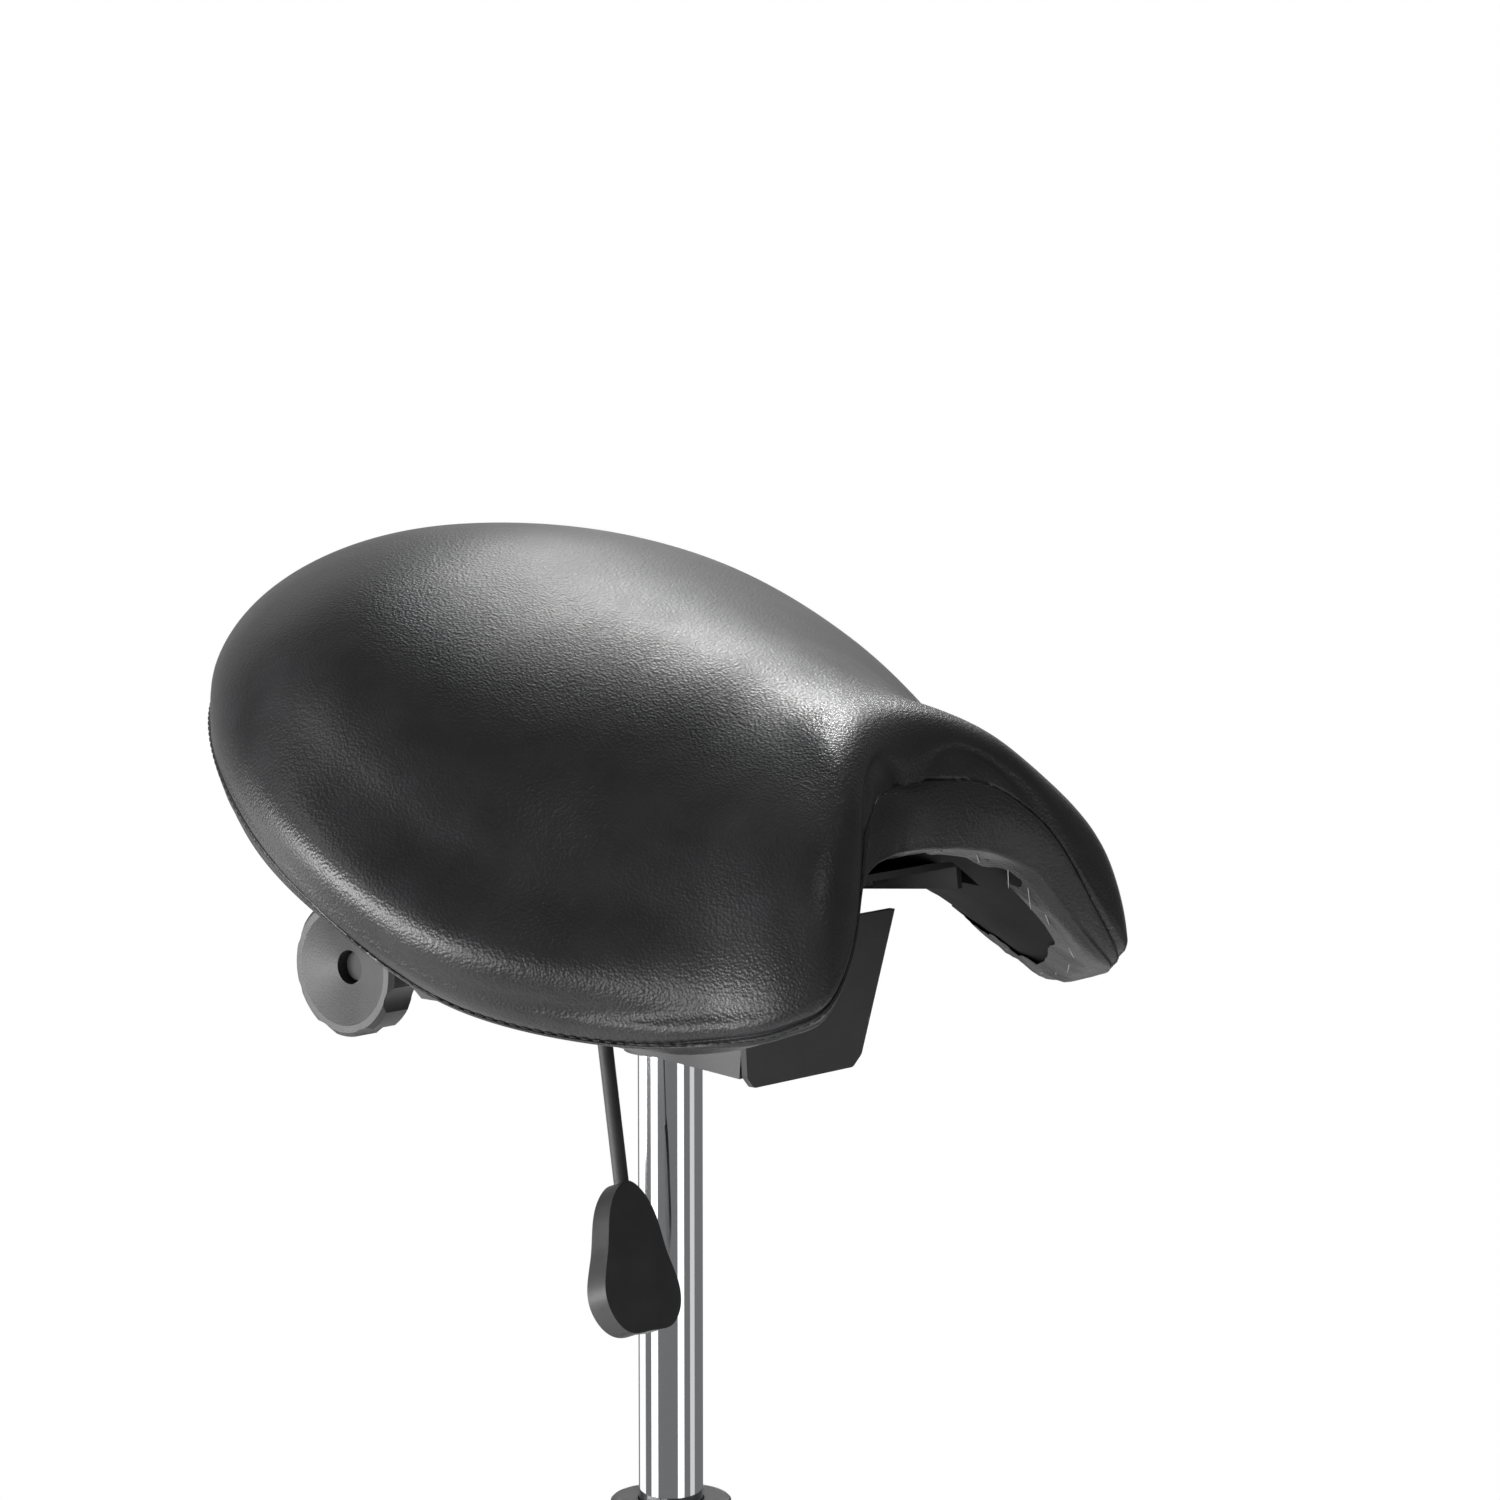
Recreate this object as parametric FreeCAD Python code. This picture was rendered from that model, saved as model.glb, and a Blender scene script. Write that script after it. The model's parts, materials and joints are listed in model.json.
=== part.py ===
import FreeCAD, Part
import math
import os

from FreeCAD import Matrix, Placement, Vector

# A saddle-seat drum throne on a gas-spring column with a five-star base.
# Millimetres. The origin is on the floor under the column's axis, +Z is up,
# the sitter faces -Y and the sitter's left hand is on +X.

# Driving dimensions: base and column
FOOT_RADIUS = 285.0        # column axis to each glide
LEG_COUNT = 5
HUB_APOTHEM = 42.0
HUB_BOTTOM = 54.0
HUB_TOP = 120.0
COLLAR_TOP = 305.0         # top face of the collar, the datum for everything above it
COLLAR_RADIUS = 26.2
STANDING_RADIUS = 25.0
STANDING_BOTTOM = 18.0
TUBE_RADIUS = 14.0         # chromed pressure tube of the gas spring
TUBE_BOTTOM = 245.0
TUBE_TOP = 553.0
ROD_RADIUS = 5.0
RUNNING = 0.05             # radial clearance of the running fits

# Driving dimensions: tilt bracket, heights above the collar's top face
WALL_INNER = 34.0
SHEET = 3.0
PIVOT = (-34.0, 240.0)     # tilt axis in Y and height
CLAMP = (111.0, 232.0)     # clamp screw in Y and height
PIN_RADIUS = 5.0
CLAMP_RADIUS = 4.0
PLATE_SLOPE = math.degrees(math.atan(0.1))
PLATE_TOP = 273.85         # seat plate's top face over the column axis
PLATE_HALF_WIDTH = 60.0
TILT_DOWN = 3.0            # degrees, rear edge down
TILT_UP = 5.0              # degrees, rear edge up

# Driving dimensions: lever and knob
LEVER_AXIS = (-26.0, 260.6)
LEVER_ROD_RADIUS = 3.25
PADDLE_LENGTH = 64.0
PADDLE_CENTRE = 146.0      # elbow to the paddle's middle, along the lever
PADDLE_WIDTH = 40.0
PADDLE_THICKNESS = 12.0
PADDLE_FACE = Vector(-0.05, -0.86, 0.5)     # way the dished face looks
KNOB_FACE = -88.0
KNOB_DEPTH = 17.0
KNOB_RADIUS = 30.0

# Saddle seat: the seam round the rim, as angle from the front, radius and height
SEAM = (
    (0, 136, 325), (7, 139.5, 325), (12, 146.5, 323.5), (17, 158, 316.5), (21, 172, 303),
    (25, 188, 275), (29, 198, 257), (34, 196, 249), (44, 178.5, 244), (58, 164.5, 242.5),
    (78, 172.5, 254.5), (102, 182.5, 291), (130, 193, 331), (155, 203, 355), (180, 203, 355),
)
CREST = ((-190, 418), (-130, 420), (-70, 416), (-10, 398), (50, 378), (100, 364.5), (140, 370))
FALL = ((-190, 22), (-80, 16), (30, 34), (140, 82))
FLARE = ((-190, 0.2), (-80, 0.3), (30, 0.5), (140, 0.6))
ROLL_POWER = 5.3
ROLL_ROOT = 2.2
# Side band below the seam, as angle from the front, height and tuck
BAND = ((0, 27, 3), (14, 26, 3), (21, 20, 5), (29, 13, 8), (44, 12, 1), (78, 12, 1), (102, 15, 2),
        (130, 22, 6), (180, 22, 10))
BELLY = ((-198, 345), (-170, 322), (-130, 290), (-95, 270), (-70, 265), (-40, 267.9), (0, 271.9),
         (50, 276.9), (85, 281.5), (105, 287.5), (131, 297), (170, 300))
ARCH = ((-130, -5), (0, 2), (60, 8), (90, 20), (125, 52), (170, 60))
COVER = 1.2
GAP = 0.6
BAND_GAP = 1.4
BAND_SHEET = 0.7
SHELL = 8.0
GRID = 21
SQUARENESS = 0.4
RIM_POINTS = 96


def save(name, shape):
    shape.exportStep("parts/%s.step" % name)


def ring(outer, inner, low, high, x=0.0, y=0.0):
    """Plain tube or disc standing on Z."""
    body = Part.makeCylinder(outer, high - low, Vector(x, y, low))
    if inner > 0:
        body = body.cut(Part.makeCylinder(inner, high - low + 2, Vector(x, y, low - 1)))
    return body


def cross_ring(outer, inner, x0, x1, y, z):
    """Plain tube or disc lying along X."""
    body = Part.makeCylinder(outer, x1 - x0, Vector(x0, y, z), Vector(1, 0, 0))
    if inner > 0:
        body = body.cut(Part.makeCylinder(inner, x1 - x0 + 2, Vector(x0 - 1, y, z), Vector(1, 0, 0)))
    return body


def side_plate(outline, x0, x1):
    """Flat plate with a (Y, height) outline, from x0 to x1."""
    points = [Vector(x0, y, COLLAR_TOP + z) for y, z in outline]
    return Part.Face(Part.makePolygon(points + points[:1])).extrude(Vector(x1 - x0, 0, 0))


def mirrored(shape):
    return shape.mirror(Vector(0, 0, 0), Vector(1, 0, 0))


def smooth(rows, x, column=1, flat_ends=False):
    """Cubic through table rows, with slopes taken from the neighbouring rows."""
    x = min(max(x, rows[0][0]), rows[-1][0])
    last = len(rows) - 2
    k = 0
    while k < last and x > rows[k + 1][0]:
        k += 1

    def secant(i):
        return (rows[i + 1][column] - rows[i][column]) / (rows[i + 1][0] - rows[i][0])

    def slope(i):
        if i == 0 or i == last + 1:
            return 0.0 if flat_ends else secant(min(i, last))
        before = rows[i][0] - rows[i - 1][0]
        after = rows[i + 1][0] - rows[i][0]
        return (secant(i) * before + secant(i - 1) * after) / (before + after)

    width = rows[k + 1][0] - rows[k][0]
    t = (x - rows[k][0]) / width
    start = rows[k][column]
    end = rows[k + 1][column]
    rise = start * (2 * t**3 - 3 * t**2 + 1) + end * (3 * t**2 - 2 * t**3)
    return rise + width * (slope(k) * (t**3 - 2 * t**2 + t) + slope(k + 1) * (t**3 - t**2))


# Base

def hub():
    corners = []
    for k in range(LEG_COUNT):
        turn = math.radians(-90 + 180 / LEG_COUNT + 360 / LEG_COUNT * k)
        reach = HUB_APOTHEM / math.cos(math.pi / LEG_COUNT)
        corners.append(Vector(reach * math.cos(turn), reach * math.sin(turn), HUB_BOTTOM))
    body = Part.Face(Part.makePolygon(corners + corners[:1])).extrude(Vector(0, 0, HUB_TOP - HUB_BOTTOM))
    upright = [e for e in body.Edges if abs(e.Vertexes[0].X - e.Vertexes[1].X) < 1e-6
               and abs(e.Vertexes[0].Y - e.Vertexes[1].Y) < 1e-6]
    body = body.makeFillet(5.0, upright)
    collar = Part.makeCone(38.0, 34.0, 14.0, Vector(0, 0, HUB_TOP - 1))
    body = body.fuse(collar).removeSplitter()
    return body.cut(ring(STANDING_RADIUS + RUNNING, 0, HUB_BOTTOM - 1, HUB_TOP + 20))


def rounded_section(reach, width, low, high, corner):
    """Rounded rectangle across a leg that runs along +X."""
    half = width / 2 - corner
    bottom = low + corner
    top = high - corner
    bend = corner * (1 - math.sqrt(0.5))

    def at(y, z):
        return Vector(reach, y, z)

    lines = (
        Part.makeLine(at(-half, low), at(half, low)),
        Part.Arc(at(half, low), at(width / 2 - bend, low + bend), at(width / 2, bottom)).toShape(),
        Part.makeLine(at(width / 2, bottom), at(width / 2, top)),
        Part.Arc(at(width / 2, top), at(width / 2 - bend, high - bend), at(half, high)).toShape(),
        Part.makeLine(at(half, high), at(-half, high)),
        Part.Arc(at(-half, high), at(bend - width / 2, high - bend), at(-width / 2, top)).toShape(),
        Part.makeLine(at(-width / 2, top), at(-width / 2, bottom)),
        Part.Arc(at(-width / 2, bottom), at(bend - width / 2, low + bend), at(-half, low)).toShape(),
    )
    return Part.Wire(lines)


def leg():
    sections = (
        rounded_section(HUB_APOTHEM, 46, 60, 114, 9),
        rounded_section(90, 42, 60, 110, 9),
        rounded_section(150, 38, 54, 98, 8),
        rounded_section(215, 34, 42, 80, 7.5),
        rounded_section(FOOT_RADIUS - 8, 31, 30, 60, 7),
    )
    arm = Part.makeLoft(list(sections), True)
    boss = Part.makeCylinder(18, 32, Vector(FOOT_RADIUS, 0, 28))
    boss = boss.makeFillet(4.0, [boss.Edges[0], boss.Edges[2]])
    body = arm.fuse(boss)
    return body.cut(Part.makeCylinder(5.55, 30, Vector(FOOT_RADIUS, 0, 20)))


def foot_stem():
    stem = ring(5.5, 0, 14.0, 48.0, FOOT_RADIUS)
    flange = ring(11.0, 0, 22.0, 27.5, FOOT_RADIUS)
    return stem.fuse(flange).removeSplitter()


def rubber_foot():
    profile = [Vector(FOOT_RADIUS, 0, 0), Vector(FOOT_RADIUS + 20, 0, 0), Vector(FOOT_RADIUS + 22, 0, 3)]
    dome = Part.Arc(Vector(FOOT_RADIUS + 22, 0, 3), Vector(FOOT_RADIUS + 19, 0, 14), Vector(FOOT_RADIUS + 9, 0, 21))
    lines = [Part.makeLine(profile[0], profile[1]), Part.makeLine(profile[1], profile[2]), dome.toShape()]
    lines.append(Part.makeLine(Vector(FOOT_RADIUS + 9, 0, 21), Vector(FOOT_RADIUS, 0, 21)))
    lines.append(Part.makeLine(Vector(FOOT_RADIUS, 0, 21), profile[0]))
    body = Part.Face(Part.Wire(lines)).revolve(Vector(FOOT_RADIUS, 0, 0), Vector(0, 0, 1), 360)
    return body.cut(Part.makeCylinder(5.55, 20, Vector(FOOT_RADIUS, 0, 13.8)))


def base():
    save("base_hub", hub())
    makers = (("leg", leg()), ("foot_stem", foot_stem()), ("rubber_foot", rubber_foot()))
    for k in range(LEG_COUNT):
        for name, shape in makers:
            turned = shape.copy()
            turned.rotate(Vector(0, 0, 0), Vector(0, 0, 1), -90 + 360 / LEG_COUNT * k)
            save("%s_%d" % (name, k + 1), turned)


def collar():
    """Ribbed plastic cap round the top of the standing tube."""
    body = ring(COLLAR_RADIUS, TUBE_RADIUS + 0.6, COLLAR_TOP - 26, COLLAR_TOP)
    body = body.cut(ring(STANDING_RADIUS + RUNNING, 0, COLLAR_TOP - 27, COLLAR_TOP - 7))
    rim = [e for e in body.Edges if abs(e.BoundBox.ZMin - COLLAR_TOP) < 1e-6
           and e.BoundBox.XMax > COLLAR_RADIUS - 0.1]
    body = body.makeChamfer(0.9, rim)
    grooves = []
    for k in range(48):
        turn = 2 * math.pi * k / 48
        x = (COLLAR_RADIUS + 0.35) * math.cos(turn)
        y = (COLLAR_RADIUS + 0.35) * math.sin(turn)
        grooves.append(Part.makeCylinder(0.9, 21, Vector(x, y, COLLAR_TOP - 23)))
    return body.cut(Part.makeCompound(grooves))


def standing_parts():
    save("standing_tube", ring(STANDING_RADIUS, STANDING_RADIUS - 1.6, STANDING_BOTTOM, COLLAR_TOP - 7.2))
    save("guide_sleeve", ring(STANDING_RADIUS - 1.65, TUBE_RADIUS + RUNNING, COLLAR_TOP - 72, COLLAR_TOP - 7.2))
    save("top_collar", collar())
    save("end_plate", ring(STANDING_RADIUS - 1.65, ROD_RADIUS + RUNNING, 24, 28))
    save("thrust_washer", ring(12, ROD_RADIUS + 0.4, 28, 29.5))
    save("thrust_bearing", ring(11.5, ROD_RADIUS + 0.4, 29.5, 33))


# Gas spring

def piston_rod_parts():
    rod = ring(ROD_RADIUS, 0, 16.0, 274.0)
    rod = rod.cut(ring(ROD_RADIUS + 1, ROD_RADIUS - 1, 19.5, 21.1))
    rod = rod.cut(ring(ROD_RADIUS + 1, ROD_RADIUS - 0.8, 33.1, 38.1))
    save("piston_rod", rod)
    save("rod_clip", ring(9.0, ROD_RADIUS - 0.95, 19.6, 21.0))
    save("rod_collar", ring(10.0, ROD_RADIUS - 0.75, 33.2, 38.0))
    piston = ring(TUBE_RADIUS - 1.6, ROD_RADIUS + 0.02, 264, 274)
    save("piston", piston.cut(ring(TUBE_RADIUS, 10.0, 267.4, 270.6)))
    save("piston_seal", ring(TUBE_RADIUS - 1.57, 10.05, 267.5, 270.5))


def tube_cone(extra, low, high):
    """The tube's upper end tapers by 0.6 mm in radius over its last 50 mm."""
    seat = TUBE_TOP - 50
    r_low = TUBE_RADIUS + extra - 0.6 * (low - seat) / 50
    r_high = TUBE_RADIUS + extra - 0.6 * (high - seat) / 50
    return Part.makeCone(r_low, r_high, high - low, Vector(0, 0, low))


def pressure_tube():
    seat = TUBE_TOP - 50
    body = Part.makeCylinder(TUBE_RADIUS, seat - TUBE_BOTTOM, Vector(0, 0, TUBE_BOTTOM))
    body = body.fuse(tube_cone(0, seat, TUBE_TOP))
    return body.cut(ring(TUBE_RADIUS - 1.5, 0, TUBE_BOTTOM - 1, TUBE_TOP + 1))


def gas_spring_parts():
    save("pressure_tube", pressure_tube())
    save("rod_gland", ring(TUBE_RADIUS - 1.55, ROD_RADIUS + RUNNING, TUBE_BOTTOM + 1, TUBE_BOTTOM + 17))
    save("valve_body", ring(TUBE_RADIUS - 1.55, 4.05, TUBE_TOP - 53, TUBE_TOP - 1))
    pin = ring(4.0, 0, TUBE_TOP - 38, COLLAR_TOP + 257)
    save("release_pin", pin.makeChamfer(0.8, [pin.Edges[0]]))


# Tilt bracket

def bracket_side():
    arm = ((-72, 199), (40, 207.5), (92, 213.5), (103, 218), (119, 218), (125, 224), (125, 240),
           (119, 246), (96, 246), (62, 250), (20, 255), (-16, 255), (-50, 255), (-77, 253))
    wall = side_plate(arm, WALL_INNER, WALL_INNER + SHEET)
    holes = (cross_ring(PIN_RADIUS + RUNNING, 0, 20, 50, PIVOT[0], COLLAR_TOP + PIVOT[1]),
             cross_ring(CLAMP_RADIUS + RUNNING, 0, 20, 50, CLAMP[0], COLLAR_TOP + CLAMP[1]))
    for hole in holes:
        wall = wall.cut(hole)
    return wall


def tilt_bracket():
    """Folded steel channel: two walls joined by a web that carries the taper socket."""
    wall = bracket_side()
    web = Part.makeBox(2 * WALL_INNER, 112, SHEET, Vector(-WALL_INNER, -72, COLLAR_TOP + 208.5))
    body = wall.fuse(mirrored(wall)).fuse(web)
    return body.cut(ring(20.0 + RUNNING, 0, COLLAR_TOP + 200, COLLAR_TOP + 220))


def front_plate():
    """Flared plate closing the channel's front, its lip below the walls, leaning forward."""
    bottom = COLLAR_TOP + 195
    top = COLLAR_TOP + 262
    outline = (Vector(-32, -73, bottom), Vector(32, -73, bottom), Vector(37, -73.6, bottom + 5),
               Vector(50, -81, top), Vector(-50, -81, top), Vector(-37, -73.6, bottom + 5))
    level = []
    for p in outline:
        level.append(Vector(p.x, -73 - 8 * (p.z - bottom) / (top - bottom), p.z))
    plate = Part.Face(Part.makePolygon(level + level[:1])).extrude(Vector(0, -SHEET, 0))
    bends = [e for e in plate.Edges if e.Length < SHEET + 0.01 and e.BoundBox.ZMax < bottom + 8]
    return plate.makeFillet(3.0, bends)


def bracket_parts():
    save("tilt_bracket", tilt_bracket())
    save("front_plate", front_plate())
    socket = ring(20.0, 0, TUBE_TOP - 50, TUBE_TOP - 2)
    save("taper_socket", socket.cut(tube_cone(0.03, TUBE_TOP - 50.5, TUBE_TOP)))
    pin = cross_ring(PIN_RADIUS, 0, -41, 41, PIVOT[0], COLLAR_TOP + PIVOT[1])
    grooves = [cross_ring(PIN_RADIUS + 1, PIN_RADIUS - 1, x, x + 1.5, PIVOT[0], COLLAR_TOP + PIVOT[1])
               for x in (-39.2, 37.7)]
    save("pivot_pin", pin.cut(Part.makeCompound(grooves)))
    clip = cross_ring(8.5, PIN_RADIUS - 0.95, 37.75, 39.15, PIVOT[0], COLLAR_TOP + PIVOT[1])
    save("pivot_clip_left", clip)
    save("pivot_clip_right", mirrored(clip))


# Release lever

def lever_bracket():
    """Small folded bracket on the right-hand wall that carries the lever's pin."""
    x = -WALL_INNER + 0.05
    z = COLLAR_TOP
    back = Part.makeBox(2, 20, 10, Vector(x, -10, z + 244))
    cheek = Part.makeBox(15, 2, 20.5, Vector(x, 8, z + 244))
    other = Part.makeBox(15, 2, 20.5, Vector(x, -10, z + 244))
    body = back.fuse(cheek).fuse(other)
    return body.cut(lever_hole(1.52))


def lever_hole(radius):
    return Part.makeCylinder(radius, 60, Vector(LEVER_AXIS[0], -30, COLLAR_TOP + LEVER_AXIS[1]), Vector(0, 1, 0))


LEVER_ELBOW = Vector(-48.5, 1.5, COLLAR_TOP + LEVER_AXIS[1])
LEVER_LINE = Vector(-12.0, -20.0, -55.0).normalize()


def lever_point(distance):
    """Point on the lever's lower run, measured from the elbow."""
    return LEVER_ELBOW + LEVER_LINE * distance


def lever_rod():
    start = Vector(1.5, 0, LEVER_ELBOW.z)
    along = (LEVER_ELBOW - start).normalize()
    bend_in = LEVER_ELBOW - along * 9
    bend_out = lever_point(9)
    middle = (bend_in + bend_out + LEVER_ELBOW * 2) * 0.25
    arc = Part.Arc(bend_in, middle, bend_out).toShape()
    path = Part.Wire([Part.makeLine(start, bend_in), arc, Part.makeLine(bend_out, lever_point(PADDLE_CENTRE - 8))])
    circle = Part.Wire([Part.makeCircle(LEVER_ROD_RADIUS, start, along)])
    body = path.makePipeShell([circle], True, False)
    pocket = Part.makeCylinder(1.6, 40, Vector(LEVER_AXIS[0], -20, LEVER_ELBOW.z), Vector(0, 1, 0))
    return body.cut(pocket)


def paddle_frame():
    """Local frame of the paddle: X across, Y up its outer face, Z up the lever's line."""
    up = LEVER_LINE * -1
    across = PADDLE_FACE.cross(up).normalize()
    out = up.cross(across).normalize()
    place = lever_point(PADDLE_CENTRE)
    return Placement(Matrix(across.x, out.x, up.x, place.x, across.y, out.y, up.y, place.y,
                            across.z, out.z, up.z, place.z, 0, 0, 0, 1))


def paddle():
    half = PADDLE_WIDTH / 2
    low = -PADDLE_LENGTH / 2
    outline = Part.BSplineCurve()
    points = (Vector(0, 0, low), Vector(half * 0.72, 0, low + 3), Vector(half, 0, low + 13),
              Vector(half * 0.8, 0, low + 34), Vector(half * 0.42, 0, -low - 6), Vector(0, 0, -low),
              Vector(-half * 0.42, 0, -low - 6), Vector(-half * 0.8, 0, low + 34),
              Vector(-half, 0, low + 13), Vector(-half * 0.72, 0, low + 3))
    outline.interpolate(Points=list(points), PeriodicFlag=True)
    body = Part.Face(Part.Wire([outline.toShape()])).extrude(Vector(0, PADDLE_THICKNESS, 0))
    body.translate(Vector(0, -PADDLE_THICKNESS / 2, 0))
    hollow = Part.makeCylinder(120, 200, Vector(0, 0, -100), Vector(0, 0, 1))
    hollow.translate(Vector(0, 120 + PADDLE_THICKNESS / 2 - 1.6, 0))
    return body.cut(hollow)


def lever_parts():
    save("lever_bracket", lever_bracket())
    save("lever_pin", Part.makeCylinder(1.5, 22, Vector(LEVER_AXIS[0], -11, LEVER_ELBOW.z), Vector(0, 1, 0)))
    rod = lever_rod()
    save("lever_rod", rod)
    frame = paddle_frame()
    handle = paddle()
    handle.Placement = frame
    save("lever_paddle", handle.cut(Part.makeCylinder(LEVER_ROD_RADIUS + 0.05, 60, lever_point(100), LEVER_LINE)))


# Clamp knob

def knob():
    """Eight-lobed handwheel with a conical recess and a hub towards the bracket."""
    y = CLAMP[0]
    z = COLLAR_TOP + CLAMP[1]
    body = cross_ring(KNOB_RADIUS, 0, KNOB_FACE, KNOB_FACE + KNOB_DEPTH, y, z)
    body = body.makeChamfer(2.0, [e for e in body.Edges if e.Length > KNOB_RADIUS * 6])
    scoops = []
    for k in range(8):
        turn = math.radians(45 * k + 22.5)
        reach = KNOB_RADIUS + 8.6
        centre = Vector(KNOB_FACE - 1, y + reach * math.cos(turn), z + reach * math.sin(turn))
        scoops.append(Part.makeCylinder(11.0, KNOB_DEPTH + 2, centre, Vector(1, 0, 0)))
    body = body.cut(Part.makeCompound(scoops))
    body = body.fuse(cross_ring(12.0, 0, KNOB_FACE + KNOB_DEPTH - 1, -63.0, y, z))
    body = body.fuse(cross_ring(9.0, 0, -64.0, -39.0, y, z))
    body = body.cut(Part.makeCone(25.0, 7.4, 4.5, Vector(KNOB_FACE, y, z), Vector(1, 0, 0)))
    body = body.cut(cross_ring(7.4, 0, KNOB_FACE - 1, KNOB_FACE + 14, y, z))
    return body.cut(cross_ring(CLAMP_RADIUS + 0.03, 0, KNOB_FACE, -30, y, z))


def knob_parts():
    y = CLAMP[0]
    z = COLLAR_TOP + CLAMP[1]
    save("clamp_knob", knob())
    bolt = cross_ring(CLAMP_RADIUS, 0, KNOB_FACE + 12, 47, y, z)
    bolt = bolt.fuse(cross_ring(6.2, 0, KNOB_FACE + 9, KNOB_FACE + 13.9, y, z))
    save("clamp_bolt", bolt.removeSplitter())
    save("clamp_washer", cross_ring(12.0, CLAMP_RADIUS + 0.2, -38.9, -37.1, y, z))
    nut = Part.makePolygon([Vector(37.05, y + 7.5 * math.cos(math.radians(60 * k)),
                                   z + 7.5 * math.sin(math.radians(60 * k))) for k in range(7)])
    nut = Part.Face(nut).extrude(Vector(6.5, 0, 0))
    save("clamp_nut", nut.cut(cross_ring(CLAMP_RADIUS + RUNNING, 0, 30, 50, y, z)))


# Seat plate and ears

def plate_height(y, below=0.0):
    """Height above the collar of the sloping seat plate's top face."""
    return PLATE_TOP - 0.1 * y - below


def seat_plate():
    """Pressed steel tray, its two long edges turned down."""
    z = COLLAR_TOP + PLATE_TOP
    top = Part.makeBox(2 * PLATE_HALF_WIDTH, 236, SHEET, Vector(-PLATE_HALF_WIDTH, -112, z - SHEET))
    for x in (-PLATE_HALF_WIDTH, PLATE_HALF_WIDTH - SHEET):
        top = top.fuse(Part.makeBox(SHEET, 236, 12.5, Vector(x, -112, z - 12.5)))
    for x, y in BOLTS:
        top = top.cut(ring(4.2, 0, z - 10, z + 5, x, y))
    body = top.removeSplitter()
    body = body.makeFillet(2.2, [e for e in body.Edges if e.Length > 230 and e.BoundBox.ZMin > z - 0.01
                                 and abs(abs(e.BoundBox.XMin) - PLATE_HALF_WIDTH) < 0.01])
    body.rotate(Vector(0, 0, z), Vector(1, 0, 0), -PLATE_SLOPE)
    return body


def pivot_ear():
    under = SHEET + 0.05
    y, z = PIVOT
    outline = ((y - 18, plate_height(y - 18, under)), (y + 17, plate_height(y + 17, under)), (y + 14, z - 4),
               (y + 8, z - 12), (y - 8, z - 12), (y - 14, z - 4))
    ear = side_plate(outline, WALL_INNER - 0.5 - SHEET, WALL_INNER - 0.5)
    return ear.cut(cross_ring(PIN_RADIUS + RUNNING, 0, 20, 50, y, COLLAR_TOP + z))


def slot_ear():
    """Ear with an arc slot about the tilt axis, for the clamp screw."""
    under = SHEET + 0.05
    y, z = CLAMP
    outline = ((y - 13, plate_height(y - 13, under)), (y + 11.5, plate_height(y + 11.5, under)),
               (y + 10.5, 214.5), (y + 6, 211), (y - 6, 211), (y - 13, 217))
    ear = side_plate(outline, WALL_INNER - 0.5 - SHEET, WALL_INNER - 0.5)
    cutters = []
    steps = 12
    reach = math.hypot(y - PIVOT[0], z - PIVOT[1])
    rest = math.atan2(z - PIVOT[1], y - PIVOT[0])
    for k in range(steps + 1):
        turn = rest + math.radians(TILT_DOWN + 0.3 - (TILT_UP + TILT_DOWN + 0.6) * k / steps)
        cutters.append(cross_ring(CLAMP_RADIUS + 0.35, 0, 20, 50, PIVOT[0] + reach * math.cos(turn),
                                  COLLAR_TOP + PIVOT[1] + reach * math.sin(turn)))
    slot = cutters[0].multiFuse(cutters[1:])
    return ear.cut(slot)


BOLTS = ((-46, -66), (46, -66), (-46, 46), (46, 46))


def seat_bolt(x, y):
    """Flanged screw from below the plate into the shell."""
    z = COLLAR_TOP + PLATE_TOP
    body = ring(3.95, 0, z - SHEET - 0.5, z + 3.0, x, y)
    body = body.fuse(ring(9.0, 0, z - SHEET - 1.6, z - SHEET - 0.02, x, y))
    head = Part.makePolygon([Vector(x + 6.5 * math.cos(math.radians(60 * k)),
                                    y + 6.5 * math.sin(math.radians(60 * k)), z - SHEET - 7) for k in range(7)])
    body = body.fuse(Part.Face(head).extrude(Vector(0, 0, 5.6))).removeSplitter()
    body.rotate(Vector(0, 0, z), Vector(1, 0, 0), -PLATE_SLOPE)
    return body


def bolt_bore(x, y, radius):
    z = COLLAR_TOP + PLATE_TOP
    bore = ring(radius, 0, z - 10, z + 3.4, x, y)
    bore.rotate(Vector(0, 0, z), Vector(1, 0, 0), -PLATE_SLOPE)
    return bore


def plate_parts():
    save("seat_plate", seat_plate())
    ear = pivot_ear()
    save("pivot_ear_left", ear)
    save("pivot_ear_right", mirrored(ear))
    ear = slot_ear()
    save("slot_ear_left", ear)
    save("slot_ear_right", mirrored(ear))
    for k, (x, y) in enumerate(BOLTS):
        save("seat_bolt_%d" % (k + 1), seat_bolt(x, y))


# Saddle seat

def seam(angle):
    """Radius and height of the seam at an angle from the front, in degrees."""
    turn = abs(angle)
    return smooth(SEAM, turn, 1, True), smooth(SEAM, turn, 2, True)


def band(angle):
    """Height and inward tuck of the side band below the seam."""
    turn = abs(angle)
    return smooth(BAND, turn, 1, True), smooth(BAND, turn, 2, True)


def top_height(ahead, across, share, rim, inset):
    """Height of the padded top: a saddle that rolls down to the rim."""
    wide = (across / 100.0) ** 2
    saddle = smooth(CREST, ahead) - smooth(FALL, ahead) * wide / (1 + smooth(FLARE, ahead) * wide) - inset
    return rim + (saddle - rim) * max(0.0, 1 - share**ROLL_POWER) ** (1 / ROLL_ROOT)


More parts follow.
